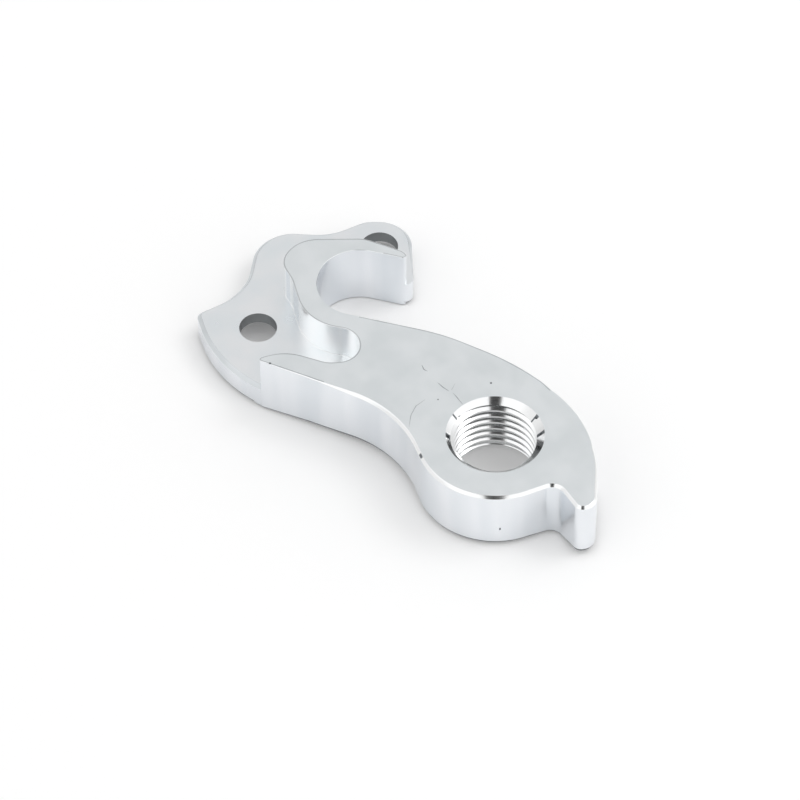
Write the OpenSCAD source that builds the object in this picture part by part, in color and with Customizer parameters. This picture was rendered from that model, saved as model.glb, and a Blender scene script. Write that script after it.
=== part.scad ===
// Bicycle derailleur hanger, one machined aluminium piece.
// Frame: origin on the axis of the derailleur thread, halfway through the plate.
// +Z runs along the thread towards the wheel, +Y along the line through the two frame
// screws, +X towards the stop tab. Millimetres.

/* [Plate] */
// thickness of the raised arm, eye and axle boss
plate_t = 8; // [7:0.1:9]
// thickness of the thin flange behind the boss
flange_t = 3.4; // [3:0.1:4]
// 45 degree chamfer on the upper edges of the arm, eye and tab
edge_c = 0.3; // [0.2:0.05:0.5]
// chamfer on the lower edges of the arm, eye and tab, round the outer face
outer_c = 0.7; // [0.4:0.05:0.8]
// chamfer on the free edges of the flange
flange_c = 0.4; // [0.2:0.05:0.5]
// small edge break along the slot, the boss, the recess and the long far edge
slot_break = 0.1; // [0.05:0.05:0.2]

/* [Derailleur thread] */
// nominal diameter of the derailleur thread
thread_d = 10; // [9.5:0.1:10.5]
// pitch of the derailleur thread
thread_pitch = 1; // [0.75:0.25:1.25]
// how far the lead-in cones stand wider than the thread, in radius
lead_in = 0.35; // [0.2:0.05:0.5]
// outer radius of the eye around the thread
eye_r = 8.6; // [8.2:0.1:9]
// distance of the waist of the near edge from the thread axis
waist_out = 11; // [10:0.1:12]

/* [Stop tab] */
// how far the notch beside the tab lies from the thread axis
notch_r = 9.4; // [9.2:0.1:10]
// how far the tab reaches from the thread axis
tab_reach = 14.8; // [14:0.1:15.5]
// width of the tab's end
tab_w = 2.1; // [1.8:0.1:2.6]

/* [Axle slot] */
// centre of the wheel axle, along X
axle_x = -26.05; // [-28:0.05:-25]
// centre of the wheel axle, along Y
axle_y = 3.75; // [3:0.05:4.5]
// width of the slot the axle drops into
slot_w = 9.6; // [9:0.1:10]
// angle of the slot, from +X to the way it opens, in degrees
slot_angle = 32.3; // [30:0.1:34]
// length of the lip beyond the axle centre
lip_len = 3.6; // [3:0.05:4.2]
// width of the raised boss beside the slot
boss_w = 1.3; // [1.1:0.05:1.9]

/* [Flange and frame screws] */
// line of the two frame screws, along X
screw_x = -31.7; // [-33:0.1:-31]
// middle of the two frame screws, along Y
screw_mid = 2.65; // [2:0.05:3.5]
// distance between the two frame screws
screw_gap = 18.1; // [17.5:0.1:19]
// diameter of the screw holes
screw_d = 4.2; // [4:0.1:4.6]
// diameter of the countersinks on the outer face
head_d = 8; // [7.4:0.1:8.4]

/* [Recess] */
// radius of the round end of the recess between boss and tongue
recess_r = 2.5; // [2.1:0.05:2.7]
// radius of the tongue's tip
tongue_r = 0.3; // [0.25:0.05:0.6]

/* [View] */
// node to build, or all of them

/* [Hidden] */
over = 1;            // cutters run past the faces by this much
arc_step = 5;        // degrees per facet of the rounded corners
eye_u = eye_r/8.6;   // measures of the eye and tab, 1 at the sizes written above
slot_u = slot_w/9.6; // measures round the slot, boss, recess and tongue
seat_u = screw_gap/18.1; // measures round the frame screws
tuck = 0.05*slot_u;  // the flange stays this far inside walls it runs flush with
minor_r = thread_d/2 - 0.5413*thread_pitch;
lead_r = thread_d/2 + lead_in;
axle = [axle_x, axle_y];
slot_r = slot_w/2;
screw_1 = [screw_x, screw_mid - screw_gap/2];
screw_2 = [screw_x, screw_mid + screw_gap/2];

// Plane helpers
function dir(a) = [cos(a), sin(a)];
function ang(v) = atan2(v[1], v[0]);
function turn_of(a, b) = ((ang(b) - ang(a) + 540) % 360) - 180;
// where two tangents of a circle meet, from the angles of their touching points
function corner(c, r, a, b) = c + r/cos((b - a)/2)*dir((a + b)/2);
// angle of the touching point of the tangent from point p to a circle, side -1 or 1
function touch(c, r, p, side) = ang(p - c) + side*acos(min(1, r/norm(p - c)));

// Rounded outline, each corner is [point, radius, upper chamfer, lower chamfer]
function leg(v, i, floor_r) =
    let (n = len(v), p = v[i][0], a = v[(i + n - 1) % n][0], b = v[(i + 1) % n][0])
    max(v[i][1], floor_r*v[i][2])*abs(tan(turn_of(p - a, b - p)/2));
function outline(v) =
    let (n = len(v), t = [for (i = [0:n - 1]) leg(v, i, 1.15)])
    [for (i = [0:n - 1])
        let (a = v[(i + n - 1) % n][0], p = v[i][0], b = v[(i + 1) % n][0],
             la = norm(p - a), lb = norm(b - p),
             share = min(1, 0.98*la/(t[i] + t[(i + n - 1) % n]), 0.98*lb/(t[i] + t[(i + 1) % n])),
             w = turn_of(p - a, b - p), cut = t[i]*share, r = cut/abs(tan(w/2)),
             s = sign(w), a0 = ang(p - a) - 90, c = p - (p - a)/la*cut - s*r*dir(a0),
             k = max(1, ceil(abs(w)/arc_step)))
        for (j = [0:k]) [c + s*r*dir(a0 + w*j/k), dir(a0 + w*j/k),
                             min(v[i][2], s > 0 ? 0.85*r : 9), min(v[i][3], s > 0 ? 0.85*r : 9)]];

// Plate with that outline and chamfered edges, from z = 0 up to h
module plate(v, h) { // z runs from the outer face here
    q = outline(v);
    n = len(q);
    function ring(level) = [for (e = q)
        let (p = e[0] - (level == 0 ? e[3] : level == 3 ? e[2] : 0)*e[1],
             z = level == 0 ? 0 : level == 1 ? e[3] : level == 2 ? h - e[2] : h)
        [p[0], p[1], z]];
    polyhedron(
        points = concat(ring(0), ring(1), ring(2), ring(3)),
        faces = concat(
            [[for (i = [0:n - 1]) i]],
            [[for (i = [n - 1:-1:0]) 3*n + i]],
            [for (k = [0:2], i = [0:n - 1]) let (j = (i + 1) % n) [k*n + i, (k + 1)*n + i, (k + 1)*n + j]],
            [for (k = [0:2], i = [0:n - 1]) let (j = (i + 1) % n) [k*n + i, (k + 1)*n + j, k*n + j]]),
        convexity = 8);
}

// Raised outline: tongue, near edge, eye, tab, far edge, slot, boss, recess
waist = waist_out*dir(210.5);
notch = notch_r*dir(1.8);
tab_mid = tab_reach*dir(1.4);
tab_lo = tab_mid - tab_w/2*dir(46.5) - eye_u*[0.7, 0.05];
tab_hi = tab_lo + tab_w*dir(46.5);
eye_at = eye_u*[0.19, -0.17]; // the eye's outer arc is a little off the thread axis
eye_corner = corner(eye_at, eye_r, touch(eye_at, eye_r, waist, 1), touch(eye_at, eye_r, notch, -1) + 360);
far_bend = axle + slot_r*dir(slot_angle - 90) + 10.8*slot_u*dir(slot_angle);
seat_dir = slot_angle + 179.2;
lip_foot = axle + slot_r*dir(slot_angle + 90);
lip_in = lip_foot + lip_len*dir(slot_angle);
lip_out = lip_in + 0.55*slot_u*dir(slot_angle + 38);
boss_far = axle + (slot_r + boss_w)*dir(111.9);
tongue_tip = axle + slot_u*[0.68, -15.92];
near_bend = axle + slot_u*[7.18, -13.12];
raised = [
    [tongue_tip, tongue_r, 0.4*edge_c, 0.35*outer_c],
    [near_bend, 40*slot_u, 0.5*edge_c, 0.75*outer_c],
    [waist, 13*eye_u, edge_c, outer_c],
    [eye_corner, eye_r, edge_c, 0.65*outer_c],
    [notch, 1.4*eye_u, edge_c, 0.45*outer_c],
    [tab_lo, 1.1*eye_u, edge_c, outer_c],
    [tab_hi, 1.8*eye_u, edge_c, outer_c],
    [eye_u*[10.01, 5.86], 12*eye_u, edge_c, outer_c],
    [eye_u*[3.92, 9.26], 15*eye_u, 0.6*edge_c, 0.6*outer_c],
    [eye_u*[-5.85, 8.52], 29*eye_u, slot_break, 0.4*outer_c],
    [far_bend, 23.5*slot_u, slot_break, 0.3*outer_c],
    [corner(axle, slot_r, slot_angle - 90, seat_dir - 360), slot_r, slot_break, slot_break],
    [corner(axle, slot_r, slot_angle + 90, seat_dir), slot_r, slot_break, slot_break],
    [lip_in, 0.7*slot_u, slot_break, slot_break],
    [lip_out, 0.35*slot_u, slot_break, slot_break],
    [boss_far + slot_u*(2.35*dir(21.9) + 0.15*dir(111.9)), 2*slot_u, slot_break, slot_break],
    [boss_far - 2.43*slot_u*dir(21.9), 3.7*slot_u, slot_break, slot_break],
    [axle + slot_u*[-9.51, -0.9], 4*slot_u, slot_break, slot_break],
    [axle + slot_u*[-8.26, -4.51], 2.8*slot_u, slot_break, slot_break],
    [axle + slot_u*[-5.4, -5.28], 5*slot_u, slot_break, slot_break],
    [axle + slot_u*[0.5, -8.36], 5.7*slot_u, slot_break, slot_break],
    [axle + slot_u*[4.9, -4.91], recess_r, slot_break, slot_break],
    [axle + slot_u*[8.68, -7.26], 0.96*recess_r, slot_break, slot_break],
    [axle + slot_u*[6.36, -10.4], 3.3*slot_u, slot_break, slot_break],
    [axle + slot_u*[1.71, -12.83], 5.7*slot_u, slot_break, slot_break]];

// Flange outline: free edge round the screws, the rest buried in the arm and boss
near_dir = ang(near_bend - tongue_tip);
inward = tuck*dir(near_dir + 90);
flush = tuck*dir(slot_angle + 90);
buried_r = slot_r + 0.55*boss_w;
flange = [
    [tongue_tip + 0.45*slot_u*dir(near_dir) + inward, 7.5*slot_u, flange_c, 0.35*outer_c],
    [near_bend + inward, 4*slot_u, slot_break, 0.75*outer_c],
    [axle + slot_u*[10.4, -8.4], 2*slot_u, slot_break, slot_break],
    [axle + slot_u*[7.4, -3], 3*slot_u, slot_break, slot_break],
    [corner(axle, buried_r, slot_angle - 90, seat_dir - 360), buried_r, slot_break, slot_break],
    [corner(axle, buried_r, slot_angle + 90, seat_dir), buried_r, slot_break, slot_break],
    [lip_foot + flush + 1.2*slot_u*dir(slot_angle), slot_u, slot_break, slot_break],
    [lip_in + flush + 1.25*slot_u*dir(slot_angle), slot_u, slot_break, flange_c],
    [screw_2 + seat_u*[-0.64, 5.37], 3.8*seat_u, flange_c, flange_c],
    [screw_2 + seat_u*[-4.11, 1.51], 3.5*seat_u, flange_c, flange_c],
    [screw_2 + seat_u*[-5.21, -2.87], 6.9*seat_u, flange_c, flange_c],
    [axle + slot_u*[-16.67, -0.38], 4.6*slot_u, flange_c, flange_c],
    [axle + slot_u*[-12.13, -5.9], 5.2*slot_u, flange_c, flange_c],
    [screw_1 + seat_u*[-5.25, 1.37], 7.6*seat_u, flange_c, flange_c],
    [screw_1 + seat_u*[-6.31, -3.66], 0.9*seat_u, flange_c, flange_c],
    [screw_1 + seat_u*[0.47, -6.98], 15.5*seat_u, flange_c, flange_c]];

// Bore of the derailleur thread with a lead-in cone at each mouth
module thread_bore() {
    cone_h = lead_r - minor_r;
    translate([0, 0, -over])
        cylinder(h = plate_t + 2*over, r = minor_r, $fn = 96);
    translate([0, 0, plate_t - cone_h])
        cylinder(h = cone_h + over, r1 = minor_r, r2 = lead_r + over, $fn = 96);
    translate([0, 0, -over])
        cylinder(h = cone_h + over, r1 = lead_r + over, r2 = minor_r, $fn = 96);
}

// Frame screw hole, countersunk from the outer face
module screw_hole(at) {
    sink = (head_d - screw_d)/2;
    translate([at[0], at[1], -over]) {
        cylinder(h = flange_t + 2*over, r = screw_d/2, $fn = 64);
        cylinder(h = sink + over, r1 = head_d/2 + over, r2 = screw_d/2, $fn = 64);
    }
}

module hanger() {
    color([0.82, 0.84, 0.85])
    translate([0, 0, -plate_t/2])
    difference() {
        // the two plates are joined as one mesh of the plate's full thickness
        resize([0, 0, plate_t]) {
            plate(raised, plate_t);
            plate(flange, flange_t);
        }
        thread_bore();
        screw_hole(screw_1);
        screw_hole(screw_2);
    }
}

hanger();
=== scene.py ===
import math

import bpy
import numpy as np
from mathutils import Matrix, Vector


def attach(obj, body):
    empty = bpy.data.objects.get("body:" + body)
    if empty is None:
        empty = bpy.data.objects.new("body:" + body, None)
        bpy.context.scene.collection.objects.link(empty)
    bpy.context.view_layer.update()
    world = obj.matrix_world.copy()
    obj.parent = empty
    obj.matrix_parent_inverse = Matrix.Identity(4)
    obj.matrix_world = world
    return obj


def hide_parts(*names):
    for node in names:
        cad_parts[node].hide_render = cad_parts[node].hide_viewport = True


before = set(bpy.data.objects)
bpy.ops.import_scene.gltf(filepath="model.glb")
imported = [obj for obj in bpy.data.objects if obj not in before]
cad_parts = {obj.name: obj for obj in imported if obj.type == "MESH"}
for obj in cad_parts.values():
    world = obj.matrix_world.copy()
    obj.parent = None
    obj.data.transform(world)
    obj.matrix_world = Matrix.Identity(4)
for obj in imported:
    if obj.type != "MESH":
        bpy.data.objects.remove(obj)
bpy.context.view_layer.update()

# Sizes in millimetres. Outlines are drawn on the outer face, z runs from 0 there up to PLATE,
# and the finished mesh is lowered by half of PLATE so that the origin is inside the thread.
MM = 0.001
PLATE = 8.0
FLANGE = 3.4

# Bevels of the plate's upper and lower edges and of the flange, and edges left nearly sharp
CHAMFER = 0.3
OUTER_CHAMFER = 0.7
FLANGE_CHAMFER = 0.4
BREAK = 0.02
LOW_BREAK = 0.1

# Fillet at the plate's foot, width of the strip along a rim, and how far the rim lies under the face
FOOT = 0.06
RIM = 0.13
RIM_DROP = 0.003

# How far the flange's joining edges end inside the plate, and all walls inside the true outline
TUCK = 0.05
INSIDE = 0.008

# Thread, M10 x 1, and the cones that lead into it
THREAD_R = 5.0
PITCH = 1.0
MINOR_R = THREAD_R - 0.5413 * PITCH
LEAD_R = THREAD_R + 0.35
TURN_STEPS = 144

# Eye, axle slot with the direction it opens in (degrees), its lip and boss, and the screw holes
EYE_R = 8.6
EYE_AT = np.array([0.19, -0.17])
AXLE = np.array([-26.05, 3.75])
SLOT_R = 4.8
SLOT_DIR = 32.3
LIP = 3.6
BOSS_W = 1.3
SCREWS = [np.array([-31.7, -6.4]), np.array([-31.7, 11.7])]
SCREW_R = 2.1
HEAD_R = 4.0


# Plane geometry

def direction(a):
    return np.array([math.cos(math.radians(a)), math.sin(math.radians(a))])


def angle(v):
    return math.degrees(math.atan2(v[1], v[0]))


def turning(a, b):
    return (angle(b) - angle(a) + 540) % 360 - 180


def corner(c, r, a, b):
    """Where two tangents of a circle meet, from the angles of their touching points."""
    return c + r / math.cos(math.radians((b - a) / 2)) * direction((a + b) / 2)


def touch(c, r, p, side):
    """Angle at which one of the two tangents from p touches the circle."""
    return angle(p - c) + side * math.degrees(math.acos(r / np.linalg.norm(p - c)))


def outline(corners, step=2.0, spacing=0.7):
    """Rounded closed outline. Rows of x, y, outward normal x, y, chamfers up and down, foot fillet."""
    n = len(corners)
    pts = [np.array(c[0], float) for c in corners]
    # How much of its two edges each rounding takes, cut down where neighbours would meet
    legs = []
    for i, (p, r, c, low, foot) in enumerate(corners):
        w = turning(pts[i] - pts[i - 1], pts[(i + 1) % n] - pts[i])
        legs.append(max(r, 1.15 * c) * abs(math.tan(math.radians(w / 2))))
    rows = []
    for i, (p, r, c, low, foot) in enumerate(corners):
        a, p, b = pts[i - 1], pts[i], pts[(i + 1) % n]
        la, lb = np.linalg.norm(p - a), np.linalg.norm(b - p)
        share = min(1, 0.98 * la / (legs[i] + legs[i - 1]), 0.98 * lb / (legs[i] + legs[(i + 1) % n]))
        w = turning(p - a, b - p)
        cut = legs[i] * share
        radius = cut / abs(math.tan(math.radians(w / 2)))
        s = math.copysign(1, w)
        a0 = angle(p - a) - 90
        centre = p - (p - a) / la * cut - s * radius * direction(a0)
        if s > 0:
            c, low = min(c, 0.85 * radius), min(low, 0.85 * radius)
        k = max(1, math.ceil(abs(w) / step))
        for j in range(k + 1):
            d = direction(a0 + w * j / k)
            rows.append([*(centre + s * radius * d), *d, c, low, foot])
    out = []
    for i, row in enumerate(rows):
        nxt = rows[(i + 1) % len(rows)]
        gap = math.dist(row[:2], nxt[:2])
        k = max(1, math.ceil(gap / spacing))
        for j in range(k):
            t = j / k
            out.append([row[m] * (1 - t) + nxt[m] * t for m in range(7)])
    q = np.array(out)
    q[:, 2:4] /= np.linalg.norm(q[:, 2:4], axis=1)[:, None]
    return q


# Outlines

def raised_outline():
    """Corners of the thick part: place, radius, upper bevel, lower bevel and foot fillet."""
    waist = 11.0 * direction(210.5)
    notch = 9.4 * direction(1.8)
    tab_lo = 14.8 * direction(1.4) - 1.05 * direction(46.5) - np.array([0.7, 0.05])
    tab_hi = tab_lo + 2.1 * direction(46.5)
    start, end = touch(EYE_AT, EYE_R, waist, 1), touch(EYE_AT, EYE_R, notch, -1) + 360
    eye = corner(EYE_AT, EYE_R, start, end)
    far_bend = AXLE + SLOT_R * direction(SLOT_DIR - 90) + 10.8 * direction(SLOT_DIR)
    seat = SLOT_DIR + 179.2
    lip_foot = AXLE + SLOT_R * direction(SLOT_DIR + 90)
    lip_in = lip_foot + LIP * direction(SLOT_DIR)
    lip_out = lip_in + 0.55 * direction(SLOT_DIR + 38)
    boss = AXLE + (SLOT_R + BOSS_W) * direction(111.9)
    return [
        # Point of the tongue, its near edge, waist and eye
        [AXLE + [0.68, -15.92], 0.3, BREAK, 0.35 * OUTER_CHAMFER, 0],
        [AXLE + [7.18, -13.12], 40, 0.25 * CHAMFER, 0.75 * OUTER_CHAMFER, 0],
        [waist, 13, CHAMFER, OUTER_CHAMFER, 0],
        [eye, EYE_R, CHAMFER, 0.65 * OUTER_CHAMFER, 0],
        # Notch and stop tab
        [notch, 1.4, CHAMFER, 0.45 * OUTER_CHAMFER, 0],
        [tab_lo, 1.1, CHAMFER, OUTER_CHAMFER, 0],
        [tab_hi, 1.8, CHAMFER, OUTER_CHAMFER, 0],
        # Far edge, from the tab back along the arm
        [[10.01, 5.86], 12, CHAMFER, OUTER_CHAMFER, 0],
        [[3.92, 9.26], 15, 0.6 * CHAMFER, 0.6 * OUTER_CHAMFER, 0],
        [[-5.85, 8.52], 29, BREAK, 0.4 * OUTER_CHAMFER, 0],
        [far_bend, 23.5, BREAK, 0.3 * OUTER_CHAMFER, 0],
        # Slot, and the lip at its far end
        [corner(AXLE, SLOT_R, SLOT_DIR - 90, seat - 360), SLOT_R, BREAK, LOW_BREAK, 0],
        [corner(AXLE, SLOT_R, SLOT_DIR + 90, seat), SLOT_R, BREAK, LOW_BREAK, 0],
        [lip_in, 0.7, BREAK, LOW_BREAK, 0],
        [lip_out, 0.35, BREAK, LOW_BREAK, 0],
        # Boss, round the back of the slot
        [boss + 2.35 * direction(21.9) + 0.15 * direction(111.9), 2, BREAK, LOW_BREAK, FOOT],
        [boss - 2.43 * direction(21.9), 3.7, BREAK, LOW_BREAK, FOOT],
        [AXLE + [-9.51, -0.9], 4, BREAK, LOW_BREAK, FOOT],
        [AXLE + [-8.26, -4.51], 2.8, BREAK, LOW_BREAK, FOOT],
        [AXLE + [-5.4, -5.28], 5, BREAK, LOW_BREAK, FOOT],
        # Recess, and back to the tongue's point
        [AXLE + [0.5, -8.36], 5.7, BREAK, LOW_BREAK, FOOT],
        [AXLE + [4.9, -4.91], 2.5, BREAK, LOW_BREAK, FOOT],
        [AXLE + [8.68, -7.26], 2.4, BREAK, LOW_BREAK, FOOT],
        [AXLE + [6.36, -10.4], 3.3, BREAK, LOW_BREAK, FOOT],
        [AXLE + [1.71, -12.83], 5.7, BREAK, LOW_BREAK, FOOT],
    ]


def flange_outline():
    """Corners of the thin flange, whose right side ends hidden inside the thick part."""
    tip = AXLE + [0.68, -15.92]
    bend = AXLE + [7.18, -13.12]
    along = direction(angle(bend - tip))
    inward = TUCK * direction(angle(bend - tip) + 90)
    flush = TUCK * direction(SLOT_DIR + 90)
    buried = SLOT_R + 0.55 * BOSS_W
    seat = SLOT_DIR + 179.2
    lip_foot = AXLE + SLOT_R * direction(SLOT_DIR + 90)
    lip_in = lip_foot + LIP * direction(SLOT_DIR)
    return [
        [tip + 0.45 * along + inward, 7.5, FLANGE_CHAMFER, 0.35 * OUTER_CHAMFER, 0],
        [bend + inward, 4, BREAK, 0.75 * OUTER_CHAMFER, 0],
        [AXLE + [10.4, -8.4], 2, BREAK, BREAK, 0],
        [AXLE + [7.4, -3], 3, BREAK, BREAK, 0],
        [corner(AXLE, buried, SLOT_DIR - 90, seat - 360), buried, BREAK, BREAK, 0],
        [corner(AXLE, buried, SLOT_DIR + 90, seat), buried, BREAK, BREAK, 0],
        [lip_foot + flush + 1.2 * direction(SLOT_DIR), 1, BREAK, BREAK, 0],
        [lip_in + flush + 1.25 * direction(SLOT_DIR), 1, BREAK, FLANGE_CHAMFER, 0],
        [SCREWS[1] + [-0.64, 5.37], 3.8, FLANGE_CHAMFER, FLANGE_CHAMFER, 0],
        [SCREWS[1] + [-4.11, 1.51], 3.5, FLANGE_CHAMFER, FLANGE_CHAMFER, 0],
        [SCREWS[1] + [-5.21, -2.87], 6.9, FLANGE_CHAMFER, FLANGE_CHAMFER, 0],
        [AXLE + [-16.67, -0.38], 4.6, FLANGE_CHAMFER, FLANGE_CHAMFER, 0],
        [AXLE + [-12.13, -5.9], 5.2, FLANGE_CHAMFER, FLANGE_CHAMFER, 0],
        [SCREWS[0] + [-5.25, 1.37], 7.6, FLANGE_CHAMFER, FLANGE_CHAMFER, 0],
        [SCREWS[0] + [-6.31, -3.66], 0.9, FLANGE_CHAMFER, FLANGE_CHAMFER, 0],
        [SCREWS[0] + [0.47, -6.98], 15.5, FLANGE_CHAMFER, FLANGE_CHAMFER, 0],
    ]


# Mesh helpers

def mesh_object(name, verts, faces):
    mesh = bpy.data.meshes.new(name)
    mesh.from_pydata([tuple(v) for v in verts], [], [tuple(f) for f in faces])
    mesh.update()
    obj = bpy.data.objects.new(name, mesh)
    bpy.context.scene.collection.objects.link(obj)
    return obj


def edge_profile(c, z, up, round_share):
    """Chamfer with rounded corners: inset and height, from the wall to the flat face."""
    q = round_share * c
    r = q / math.tan(math.radians(22.5))
    pts = []
    for k in range(5):
        a = math.radians(45 * k / 4)
        pts.append((r * (1 - math.cos(a)), -c - q + r * math.sin(a)))
    pts += [(-h, -i) for i, h in reversed(pts)]
    return [(i, z + up * h) for i, h in pts]


def plate(name, corners, height):
    """Closed plate with the outline's bevels, and a fillet where it stands on the flange."""
    q = outline(corners)
    n = len(q)
    rings = []

    def ring(inset, z):
        xy = q[:, :2] - (np.asarray(inset) + INSIDE)[:, None] * q[:, 2:4]
        rings.append(np.column_stack([xy, z]))

    # From the outer face up: lower bevel, fillet where the flange ends, upper bevel, rim strip
    foot = q[:, 6]
    low = [edge_profile(ci, 0, -1, 0.6) for ci in q[:, 5]]
    high = [edge_profile(ci, height, 1, 0.16) for ci in q[:, 4]]
    for j in range(9, -1, -1):
        ring([e[j][0] for e in low], [e[j][1] for e in low])
    if foot.max() > 0:
        ring(np.zeros(n), np.full(n, FLANGE - 0.3))
        for k in range(7):
            a = math.radians(15 * k)
            ring(-foot * (1 - math.sin(a)), FLANGE + foot * (1 - math.cos(a)))
    for j in range(10):
        ring([e[j][0] for e in high], [e[j][1] - (j == 9) * RIM_DROP for e in high])
    ring([e[9][0] + RIM for e in high], np.full(n, height))
    verts = np.concatenate(rings)
    faces = [[i for i in range(n - 1, -1, -1)]]
    faces.append([(len(rings) - 1) * n + i for i in range(n)])
    for k in range(len(rings) - 1):
        for i in range(n):
            j = (i + 1) % n
            faces.append([k * n + i, k * n + j, (k + 1) * n + j, (k + 1) * n + i])
    return mesh_object(name, verts, faces)


def turned(name, profile, centre, steps):
    """Closed solid of revolution from rows of radius and height, bottom to top."""
    verts, faces = [], []
    for r, z in profile:
        for i in range(steps):
            a = 2 * math.pi * i / steps
            verts.append([centre[0] + r * math.cos(a), centre[1] + r * math.sin(a), z])
    faces.append([i for i in range(steps - 1, -1, -1)])
    faces.append([(len(profile) - 1) * steps + i for i in range(steps)])
    for k in range(len(profile) - 1):
        for i in range(steps):
            j = (i + 1) % steps
            faces.append([k * steps + i, k * steps + j, (k + 1) * steps + j, (k + 1) * steps + i])
    return mesh_object(name, verts, faces)


def scratch(name, points, width, depth):
    """V-shaped groove along a line on the top face, running out at both ends."""
    p = np.array(points, float)
    verts, faces = [], [(0, 2, 1)]
    for i, at in enumerate(p):
        way = p[min(i + 1, len(p) - 1)] - p[max(i - 1, 0)]
        across = np.array([-way[1], way[0]]) / np.linalg.norm(way)
        half = width * (0.3 if i in (0, len(p) - 1) else 1) * across
        verts += [(*(at + half), PLATE + depth), (*(at - half), PLATE + depth), (*at, PLATE - depth)]
    for i in range(0, 3 * len(p) - 3, 3):
        faces += [(i, i + 1, i + 4, i + 3), (i + 1, i + 2, i + 5, i + 4), (i + 2, i, i + 3, i + 5)]
    faces.append((len(verts) - 3, len(verts) - 2, len(verts) - 1))
    return mesh_object(name, verts, faces)


def nick(name, at, size):
    """Small dent: a double pyramid, its widths along x, y and z given by size."""
    x, y, z = at
    a, b, c = size
    verts = [(x + a, y, z), (x, y + b, z), (x - a, y, z), (x, y - b, z), (x, y, z + c), (x, y, z - c)]
    faces = [(0, 1, 4), (1, 2, 4), (2, 3, 4), (3, 0, 4), (1, 0, 5), (2, 1, 5), (3, 2, 5), (0, 3, 5)]
    return mesh_object(name, verts, faces)


def add(tree, kind, links=None, **settings):
    """One node with its settings. Links name an input and the socket that feeds it."""
    node = tree.nodes.new(kind)
    for key, value in settings.items():
        if key.startswith("in_"):
            name = key[3:].replace("_", " ")
            match = [s for s in node.inputs if s.name == name or s.identifier == key[3:]]
            match[0].default_value = value
        else:
            setattr(node, key, value)
    for key, socket in (links or {}).items():
        target = node.inputs[key] if isinstance(key, int) else [s for s in node.inputs if s.name == key][0]
        tree.links.new(socket, target)
    return node


def flattened(obj):
    """The object's mesh with its modifiers carried out, as a plain mesh."""
    graph = bpy.context.evaluated_depsgraph_get()
    mesh = bpy.data.meshes.new_from_object(obj.evaluated_get(graph))
    obj.modifiers.clear()
    obj.data = mesh


# Thread

def thread_tree():
    """Right-handed V groove of 60 degrees, its root flat an eighth of the pitch, to cut from the bore."""
    tree = bpy.data.node_groups.new("thread_groove", "GeometryNodeTree")
    face = tree.interface
    face.new_socket("Geometry", in_out="OUTPUT", socket_type="NodeSocketGeometry")
    for name in ["Root radius", "Pitch", "Turns", "Depth", "Start"]:
        face.new_socket(name, in_out="INPUT", socket_type="NodeSocketFloat")
    face.new_socket("Steps", in_out="INPUT", socket_type="NodeSocketInt")
    face.new_socket("Metal", in_out="INPUT", socket_type="NodeSocketMaterial")
    given = add(tree, "NodeGroupInput").outputs
    height = add(tree, "ShaderNodeMath", {0: given["Pitch"], 1: given["Turns"]}, operation="MULTIPLY")
    helix = add(tree, "GeometryNodeCurveSpiral", {
        "Resolution": given["Steps"], "Rotations": given["Turns"], "Start Radius": given["Root radius"],
        "End Radius": given["Root radius"], "Height": height.outputs[0]}, in_Reverse=True)
    upright = add(tree, "GeometryNodeSetCurveNormal", {"Curve": helix.outputs[0]}, mode="Z_UP")
    lowered = add(tree, "ShaderNodeCombineXYZ", {"Z": given["Start"]})
    placed = add(tree, "GeometryNodeTransform", {
        "Geometry": upright.outputs[0], "Translation": lowered.outputs[0]})
    half_root = add(tree, "ShaderNodeMath", {0: given["Pitch"]}, operation="MULTIPLY")
    half_root.inputs[1].default_value = 1 / 16
    spread = add(tree, "ShaderNodeMath", {0: given["Depth"], 2: half_root.outputs[0]},
                 operation="MULTIPLY_ADD")
    spread.inputs[1].default_value = math.tan(math.radians(30))
    section = add(tree, "GeometryNodeCurvePrimitiveQuadrilateral", mode="POINTS")
    corners = [(0, half_root, -1), (0, half_root, 1), (-1, spread, 1), (-1, spread, -1)]
    for k, (depth, width, sign) in enumerate(corners):
        tall = add(tree, "ShaderNodeMath", {0: width.outputs[0]}, operation="MULTIPLY")
        tall.inputs[1].default_value = sign
        deep = add(tree, "ShaderNodeMath", {0: given["Depth"]}, operation="MULTIPLY")
        deep.inputs[1].default_value = depth
        point = add(tree, "ShaderNodeCombineXYZ", {"X": deep.outputs[0], "Y": tall.outputs[0]})
        tree.links.new(point.outputs[0], section.inputs[f"Point {k + 1}"])
    swept = add(tree, "GeometryNodeCurveToMesh", {
        "Curve": placed.outputs[0], "Profile Curve": section.outputs[0]})
    swept.inputs["Fill Caps"].default_value = True
    real = add(tree, "GeometryNodeRealizeInstances", {"Geometry": swept.outputs[0]})
    painted = add(tree, "GeometryNodeSetMaterial", {
        "Geometry": real.outputs[0], "Material": given["Metal"]})
    add(tree, "NodeGroupOutput", {"Geometry": painted.outputs[0]})
    return tree


def grown(name, tree, values):
    """A plain mesh object from a node tree, its inputs set by socket identifier."""
    obj = mesh_object(name, [], [])
    mod = obj.modifiers.new(name, "NODES")
    mod.node_group = tree
    for item in tree.interface.items_tree:
        if item.in_out == "INPUT" and item.name in values:
            mod[item.identifier] = values[item.name]
    flattened(obj)
    return obj


# Colours

def srgb(code):
    """Linear colour from a six-figure hex code."""
    parts = [int(code[i:i + 2], 16) / 255 for i in (0, 2, 4)]
    return tuple(x / 12.92 if x <= 0.04045 else ((x + 0.055) / 1.055) ** 2.4 for x in parts) + (1.0,)


# How far apart the soft patches of tint and shine lie, in millimetres
PATCH = 4


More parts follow.
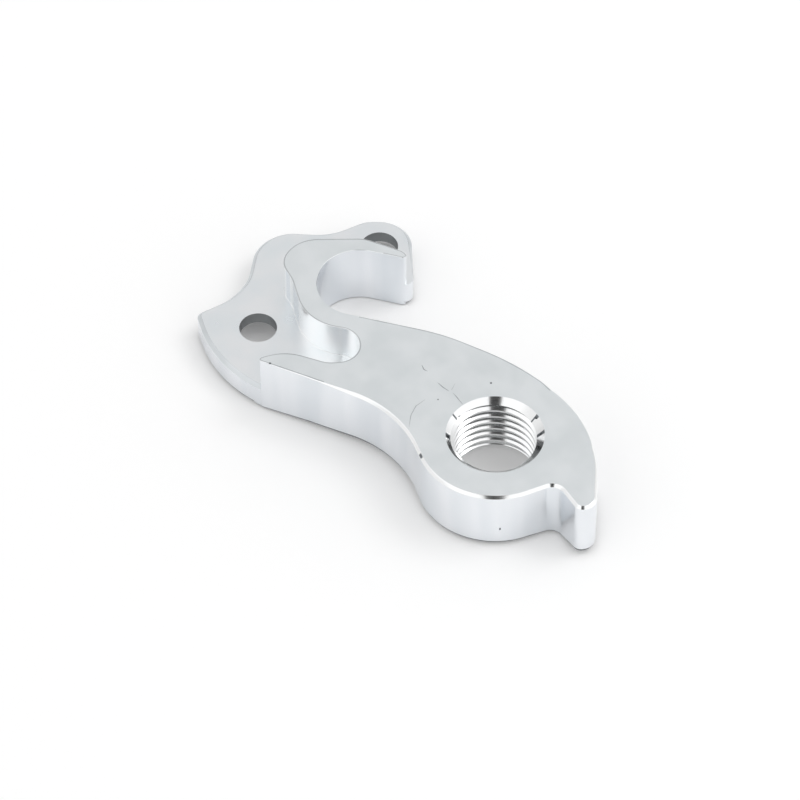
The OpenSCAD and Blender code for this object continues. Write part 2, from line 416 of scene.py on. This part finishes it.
def metal(name, tints, rough, grain, depth, streak=(1, 1, 1), patch=(1, 1, 1)):
    """Bare aluminium between two tints. grain and depth give the surface marks, in millimetres.

    Tool marks and tumbling marks are a few hundredths of a millimetre apart, too fine to show
    here, so each grain is drawn several times as coarse.
    """
    mat = bpy.data.materials.new(name)
    mat.use_nodes = True
    tree = mat.node_tree
    tree.nodes.clear()
    place = add(tree, "ShaderNodeTexCoord")
    scaled = add(tree, "ShaderNodeMapping", {"Vector": place.outputs["Object"]}, in_Scale=streak)
    marks = add(tree, "ShaderNodeTexNoise", {"Vector": scaled.outputs[0]},
                in_Scale=1 / (grain * MM), in_Detail=3.0, in_Roughness=0.55)
    bump = add(tree, "ShaderNodeBump", {"Height": marks.outputs[0]},
               in_Strength=1.0, in_Distance=depth * MM)
    spread = add(tree, "ShaderNodeMapping", {"Vector": place.outputs["Object"]}, in_Scale=patch)
    patches = add(tree, "ShaderNodeTexNoise", {"Vector": spread.outputs[0]},
                  in_Scale=1 / (PATCH * MM), in_Detail=2.0, in_Roughness=0.5)
    dull = add(tree, "ShaderNodeMapRange", {"Value": patches.outputs[0]},
               in_From_Min=0.3, in_From_Max=0.7, in_To_Min=rough - 0.03, in_To_Max=rough + 0.03)
    share = add(tree, "ShaderNodeMapRange", {"Value": patches.outputs[0]},
                in_From_Min=0.35, in_From_Max=0.65)
    tint = add(tree, "ShaderNodeMix", {0: share.outputs[0]}, data_type="RGBA")
    tint.inputs[6].default_value = srgb(tints[0])
    tint.inputs[7].default_value = srgb(tints[1])
    skin = add(tree, "ShaderNodeBsdfPrincipled", {
        "Base Color": tint.outputs[2], "Roughness": dull.outputs[0], "Normal": bump.outputs[0]},
        in_Metallic=1.0)
    add(tree, "ShaderNodeOutputMaterial", {"Surface": skin.outputs[0]})
    return mat


# Flat faces: rolled aluminium plate, tumbled in stones, which leaves an even satin shine
FACE = metal("aluminium_tumbled_face", ["ECF1F3", "F3F7F9"], 0.34, 0.25, 0.0006)
# Flange and recess floor: milled down from the plate, a fresh cut, with a tint a little brighter as
# painted light for the light the lower flange catches
FLOOR_PAINTED_LIGHT = metal("aluminium_milled_floor_painted_light", ["F3F8FB", "F9FBFD"], 0.30, 0.4, 0.0005, (1, 3, 1))
# Walls: cut with the side of a mill, whose dwelling leaves soft upright bands of grey and shine
WALL = metal("aluminium_milled_wall", ["E5E9ED", "F3F5F8"], 0.22, 0.5, 0.0004, (1, 1, 3), (1, 1, 0.15))
# Walls of the recess: a smaller mill with a fresh edge leaves them nearly a mirror; their near-white tint
# is a painted highlight, standing in for the bright reflection in the recess
RECESS_PAINTED_HIGHLIGHT = metal("aluminium_recess_wall_painted_highlight", ["F8F9F9", "FCFCFC"], 0.2, 0.5, 0.0003, (1, 1, 3))
# Bevels: cut by a chamfer mill, and brightest because tumbling polishes edges most
EDGE = metal("aluminium_chamfered_edge", ["F4F6F6", "F9FAFA"], 0.16, 0.5, 0.0003)
# The flange's bevel: the same cut, tinted darker as a painted dark reflection
BEVEL_PAINTED_DARK = metal("aluminium_bevel_painted_dark_reflection", ["CDD2D5", "DEE2E4"], 0.36, 0.3, 0.0006)
# Bore and thread: cut by a tap and out of the stones' reach, sharp and glossy
TAPPED = metal("aluminium_cut_thread", ["F2F3F4", "F7F8F8"], 0.14, 0.5, 0.0003)
# Screw holes: drilled, rough and dull inside, and tinted dark grey as painted shade in the holes
DRILLED_PAINTED_SHADE = metal("aluminium_drilled_hole_painted_shade", ["A0A3A5", "ACAFB1"], 0.42, 0.3, 0.001, (1, 1, 4))
# Rims without a bevel: a grey strip along them draws a thin dark line
RIM_GREY = metal("aluminium_grey_rim_line", ["B9BDC0", "D2D6D8"], 0.45, 0.3, 0.001)
# Lower edges: rolled over towards the outer face, tinted dark as painted shade where they turn under
# towards the table
UNDER_EDGE_PAINTED_SHADE = metal("aluminium_under_edge_painted_shade", ["606467", "787C7F"], 0.4, 0.3, 0.0006)
# Scratches: shallow real grooves, tinted darker as painted shade in the groove
SCRATCH_PAINTED_SHADE = metal("aluminium_scratch_painted_shade", ["9CA0A3", "B0B4B7"], 0.45, 0.2, 0.001)
# Nicks: rough at the bottom, tinted nearly black as painted shade in the dent
NICK_PAINTED_SHADE = metal("aluminium_nick_painted_shade", ["6F7376", "84888B"], 0.5, 0.2, 0.001)


# The hanger

def cut_or_join(body, tool, operation):
    mod = body.modifiers.new(tool.name, "BOOLEAN")
    mod.operation = operation
    mod.object = tool
    mod.solver = "MANIFOLD"


# Wear: scratches as lines on the top face with a width, nicks as places with a size
SCRATCH_DEPTH = 0.03
SCRATCHES = [
    ([(-12.58, 0.73), (-12.02, 0.49), (-11.49, 0.59)], 0.12),
    ([(-9.57, 0.32), (-8.82, 0.3), (-7.84, 0.43)], 0.1),
    ([(-7.76, 0.72), (-8.19, 1.63)], 0.06),
    ([(-7.34, 0.56), (-6.58, 0.45), (-5.5, 0.27)], 0.07),
    ([(-8.69, -2.32), (-8.67, -3.66), (-8.09, -4.92), (-6.98, -6.21)], 0.05),
]
NICKS = [
    ((-5.62, 4.58, PLATE), (0.15, 0.15, 0.05)),
    ((-7.75, -1.27, PLATE), (0.1, 0.1, 0.04)),
    ((-3.28, -7.97, PLATE - 0.1), (0.1, 0.1, 0.12)),
    ((-25.31, -11.92, PLATE), (0.16, 0.16, 0.12)),
    ((-23.85, -11.38, PLATE), (0.16, 0.16, 0.12)),
    ((6.88, -5.57, 2.7), (0.16, 0.16, 0.25)),
    ((-4.62, -0.9, 7.4), (0.3, 0.6, 0.4)),
    ((-3.39, -3.86, 7.75), (0.34, 0.34, 0.35)),
    ((1.13, 4.97, 7.75), (0.3, 0.14, 0.25)),
    ((3.06, 3.91, 7.61), (0.22, 0.22, 0.3)),
]


def build_hanger():
    """Plate and flange joined, then bore, screw holes, thread and wear cut out."""
    body = plate("hanger_body", raised_outline(), PLATE)
    tools = [plate("flange_tool", flange_outline(), FLANGE)]
    cone = LEAD_R - MINOR_R
    tools.append(turned("bore_tool", [
        (LEAD_R + 1, -1), (MINOR_R, cone), (MINOR_R, PLATE - cone), (LEAD_R + 1, PLATE + 1)],
        (0, 0), TURN_STEPS))
    sink = HEAD_R - SCREW_R
    for k, at in enumerate(SCREWS):
        tools.append(turned(f"screw_tool_{k + 1}", [
            (HEAD_R + 1, -1), (SCREW_R, sink), (SCREW_R, FLANGE + 1)], at, 96))
    # The groove runs out past both faces, and inwards past the bore
    tools.append(grown("thread_tool", thread_tree(), {
        "Root radius": THREAD_R, "Pitch": PITCH, "Turns": PLATE / PITCH + 2.5, "Depth": 0.68,
        "Start": -1.3, "Steps": TURN_STEPS, "Metal": TAPPED}))
    for k, (points, width) in enumerate(SCRATCHES):
        tools.append(scratch(f"scratch_{k + 1}", points, width, SCRATCH_DEPTH))
    for k, (at, size) in enumerate(NICKS):
        tools.append(nick(f"nick_{k + 1}", at, size))
    cut_or_join(body, tools[0], "UNION")
    for tool in tools[1:]:
        cut_or_join(body, tool, "DIFFERENCE")
    flattened(body)
    for tool in tools:
        bpy.data.objects.remove(tool)
    return body


# How far the normal's upright share has to be for a face to count as flat, and as a wall
FLAT = 0.97
UPRIGHT = 0.25


def in_nick(c):
    return any(all(abs(c[k] - at[k]) < size[k] for k in range(3)) for at, size in NICKS)


def in_screw_hole(c):
    """Whether a point lies on the wall or the countersink of a screw hole."""
    wall = max(SCREW_R, HEAD_R - c.z)
    return c.z < FLANGE and any(abs(math.dist((c.x, c.y), at) - wall) < 0.08 for at in SCREWS)


def paint(body):
    """Gives every face its metal from where it lies and how it is tilted."""
    mesh = body.data
    mesh.materials.clear()
    metals = [FACE, WALL, RECESS_PAINTED_HIGHLIGHT, EDGE, BEVEL_PAINTED_DARK, TAPPED, DRILLED_PAINTED_SHADE, FLOOR_PAINTED_LIGHT, RIM_GREY, UNDER_EDGE_PAINTED_SHADE, SCRATCH_PAINTED_SHADE, NICK_PAINTED_SHADE]
    for mat in metals:
        mesh.materials.append(mat)
    edge = outline(raised_outline())
    for poly in mesh.polygons:
        c, nz = poly.center, abs(poly.normal.z)
        away = np.hypot(edge[:, 0] - c.x, edge[:, 1] - c.y)
        near, reach = edge[np.argmin(away)], away.min()
        near_bevel, near_foot = near[4], near[6]
        from_thread = math.hypot(c.x, c.y)
        drop = PLATE - c.z
        use = FACE if nz > FLAT else WALL if nz < UPRIGHT else EDGE
        # Flat faces at the flange's height get the floor metal, whose brighter tint is painted light
        if nz > FLAT and 0.1 < c.z < FLANGE + 0.1:
            use = FLOOR_PAINTED_LIGHT
        # Rim strips without a bevel, outside the slot, get the grey tint that draws a thin dark line
        if nz > FLAT and 0.07 * RIM_DROP < drop < 0.93 * RIM_DROP:
            in_slot = math.dist(near[:2], AXLE) < SLOT_R + 0.1
            use = FACE if near_bevel > 0.1 or in_slot else RIM_GREY
        # The flange's bevel gets the darker tint, a painted dark reflection
        if use == EDGE and FLANGE - 0.5 < c.z < FLANGE:
            use = BEVEL_PAINTED_DARK
        # Walls at the foot fillet, in the recess, get the near-white tint, a painted highlight
        if use in (WALL, EDGE) and near_foot > 0 and reach < 0.2 and c.z > FLANGE:
            use = RECESS_PAINTED_HIGHLIGHT
        # Lower edges turned towards the table get the dark tint, painted shade
        if -FLAT < poly.normal.z < -0.2 and c.z < 1.3:
            use = UNDER_EDGE_PAINTED_SHADE
        if from_thread < LEAD_R + 0.02 and nz < FLAT:
            use = TAPPED
        # Walls and countersinks of the screw holes get the dark tint, painted shade
        if nz < FLAT and in_screw_hole(c):
            use = DRILLED_PAINTED_SHADE
        # Sides of the scratch grooves get the darker tint, painted shade
        if nz < 0.999 and reach > 0.6 and from_thread > LEAD_R and RIM_DROP < drop < SCRATCH_DEPTH:
            use = SCRATCH_PAINTED_SHADE
        # Faces inside the nicks get the near-black tint, painted shade
        if nz < 0.999 and in_nick(c):
            use = NICK_PAINTED_SHADE
        poly.material_index = metals.index(use)


body = build_hanger()
paint(body)
for v in body.data.vertices:
    v.co = Vector((v.co.x * MM, v.co.y * MM, (v.co.z - PLATE / 2) * MM))
# Bevels stay crisp, and broad flat faces stay flat
body.data.shade_smooth()
body.data.set_sharp_from_angle(angle=math.radians(28))
soft = body.modifiers.new("even_normals", "WEIGHTED_NORMAL")
soft.keep_sharp = True
soft.weight = 60
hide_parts("hanger")
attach(body, "root")

# Stage: white paper just under the part

# How much brighter than its light the paper looks to the camera and in the metal
PAPER_LIFT = 0.14
# Height of the paper: a hair under the part's lowest face
PAPER_Z = -0.00402


def white_paper():
    """Matt white card. Camera and mirror rays see it a little brighter, shadows stay on it."""
    mat = bpy.data.materials.new("white_card")
    mat.use_nodes = True
    tree = mat.node_tree
    tree.nodes.clear()
    ray = add(tree, "ShaderNodeLightPath").outputs
    seen = add(tree, "ShaderNodeMath", {0: ray["Is Camera Ray"], 1: ray["Is Glossy Ray"]}, operation="ADD")
    seen = add(tree, "ShaderNodeMath", {0: seen.outputs[0], 1: ray["Is Transmission Ray"]},
               operation="ADD")
    lift = add(tree, "ShaderNodeMath", {0: seen.outputs[0]}, operation="MULTIPLY")
    lift.inputs[1].default_value = PAPER_LIFT
    card = add(tree, "ShaderNodeBsdfDiffuse")
    card.inputs["Color"].default_value = srgb("F2F2F2")
    glow = add(tree, "ShaderNodeEmission", {"Strength": lift.outputs[0]})
    both = add(tree, "ShaderNodeAddShader", {0: card.outputs[0], 1: glow.outputs[0]})
    add(tree, "ShaderNodeOutputMaterial", {"Surface": both.outputs[0]})
    return mat


sheet = [(x, y, PAPER_Z) for x, y in [(-2, -2), (2, -2), (2, 2), (-2, 2)]]
floor = mesh_object("floor", sheet, [(0, 1, 2, 3)])
floor.data.materials.append(white_paper())

# Light

# How far the camera is turned about the upright axis, and how steeply it looks down, in degrees
CAM_AZ = 47.9
CAM_EL = 49.8

# White tent: strength on the camera's side and on the far side, and how far its lower left is dimmed
TENT_NEAR = 1.12
TENT_FAR = 0.73
LEFT_DIM = 0.8
# The camera and its stand, a dark upright shape: sideways place, half width and strength
CAMERA_OFF = 0.01
CAMERA_HALF = 0.17
CAMERA_DARK = 0.05


def softbox(name, azimuth, elevation, distance, width, height, radiance):
    """White lamp aimed at the part. Azimuth 0 is straight ahead of the camera, 180 behind it."""
    a = math.radians(CAM_AZ + azimuth)
    e = math.radians(elevation)
    way = Vector((-math.sin(a) * math.cos(e), math.cos(a) * math.cos(e), math.sin(e)))
    lamp = bpy.data.lights.new(name, "AREA")
    lamp.shape = "RECTANGLE"
    lamp.size = width
    lamp.size_y = height
    lamp.energy = radiance * math.pi * width * height
    obj = bpy.data.objects.new(name, lamp)
    obj.location = way * distance
    obj.rotation_euler = (-way).to_track_quat("-Z", "Y").to_euler()
    bpy.context.scene.collection.objects.link(obj)


def light_tent():
    """White tent round the table, brighter on the camera's side, where the camera itself is dark."""
    world = bpy.data.worlds.new("light_tent")
    world.use_nodes = True
    tree = world.node_tree
    tree.nodes.clear()
    way = add(tree, "ShaderNodeTexCoord").outputs["Generated"]
    faced = add(tree, "ShaderNodeVectorRotate", {"Vector": way}, rotation_type="Z_AXIS",
                in_Angle=-math.radians(CAM_AZ))
    part = add(tree, "ShaderNodeSeparateXYZ", {"Vector": faced.outputs[0]}).outputs
    toward = add(tree, "ShaderNodeMath", {0: part["Y"]}, operation="MULTIPLY", in_Value_001=-1.0)
    side = add(tree, "ShaderNodeMath", {0: part["X"], 1: toward.outputs[0]}, operation="ARCTAN2")
    wide = add(tree, "ShaderNodeMath", {0: side.outputs[0]}, operation="ABSOLUTE")
    # The tent fades from the camera's side round to the far side
    tent = add(tree, "ShaderNodeMapRange", {"Value": wide.outputs[0]}, interpolation_type="SMOOTHSTEP",
               in_From_Min=1.7, in_From_Max=2.5, in_To_Min=TENT_NEAR, in_To_Max=TENT_FAR)
    # The dark shape is an upright band, only on the camera's side
    off = add(tree, "ShaderNodeMath", {0: part["X"]}, operation="ADD", in_Value_001=CAMERA_OFF)
    off = add(tree, "ShaderNodeMath", {0: off.outputs[0]}, operation="ABSOLUTE")
    beside = add(tree, "ShaderNodeMapRange", {"Value": off.outputs[0]}, interpolation_type="SMOOTHSTEP",
                 in_From_Min=CAMERA_HALF - 0.03, in_From_Max=CAMERA_HALF + 0.05,
                 in_To_Min=CAMERA_DARK, in_To_Max=1.0)
    behind = add(tree, "ShaderNodeMapRange", {"Value": part["Y"]}, interpolation_type="SMOOTHSTEP",
                 in_From_Min=-0.2, in_From_Max=-0.1, in_To_Min=0.0, in_To_Max=1.0)
    shape = add(tree, "ShaderNodeMath", {0: beside.outputs[0], 1: behind.outputs[0]}, operation="MAXIMUM")
    # The lower left of the tent is dimmed
    left = add(tree, "ShaderNodeMapRange", {"Value": side.outputs[0]}, interpolation_type="SMOOTHSTEP",
               in_From_Min=-1.25, in_From_Max=-0.9, in_To_Min=1.0, in_To_Max=0.0)
    low = add(tree, "ShaderNodeMapRange", {"Value": part["Z"]}, interpolation_type="SMOOTHSTEP",
              in_From_Min=0.42, in_From_Max=0.6, in_To_Min=1.0, in_To_Max=0.0)
    dim = add(tree, "ShaderNodeMath", {0: left.outputs[0], 1: low.outputs[0]}, operation="MULTIPLY")
    dim = add(tree, "ShaderNodeMapRange", {"Value": dim.outputs[0]}, in_To_Min=1.0, in_To_Max=LEFT_DIM)
    light = add(tree, "ShaderNodeMath", {0: tent.outputs[0], 1: shape.outputs[0]}, operation="MULTIPLY")
    light = add(tree, "ShaderNodeMath", {0: light.outputs[0], 1: dim.outputs[0]}, operation="MULTIPLY")
    sky = add(tree, "ShaderNodeBackground", {"Strength": light.outputs[0]}, in_Color=srgb("FFFFFF"))
    add(tree, "ShaderNodeOutputWorld", {"Surface": sky.outputs[0]})
    return world


bpy.context.scene.world = light_tent()
# Lamp to the right, which whitens the thread and the walls that face it
softbox("key_right", azimuth=-78, elevation=55, distance=0.9, width=0.4, height=0.4, radiance=2.3)

# Camera: a long lens, half a metre away

# Width of the picture, focal length and the thread mouth's distance from the centre, in pixels
PICTURE = 800
FOCAL = 5000
MOUTH_RIGHT = 95.2
MOUTH_DOWN = 34.2
# Scale at the thread's mouth, in pixels per millimetre
SCALE = 9.28
SENSOR = 36

camera = bpy.data.cameras.new("camera")
camera.lens = SENSOR * FOCAL / PICTURE
camera.sensor_width = SENSOR
camera.clip_start = 0.01
viewer = bpy.data.objects.new("camera", camera)
viewer.rotation_euler = (math.radians(90 - CAM_EL), 0, math.radians(CAM_AZ))
bpy.context.scene.collection.objects.link(viewer)
turn = viewer.rotation_euler.to_matrix()
right, up, back = turn.col[0], turn.col[1], turn.col[2]
distance = FOCAL / SCALE * MM
mouth = Vector((0, 0, PLATE / 2 * MM))
viewer.location = mouth + back * distance - (right * MOUTH_RIGHT - up * MOUTH_DOWN) * (distance / FOCAL)
bpy.context.scene.camera = viewer
bpy.context.scene.view_settings.view_transform = "Standard"
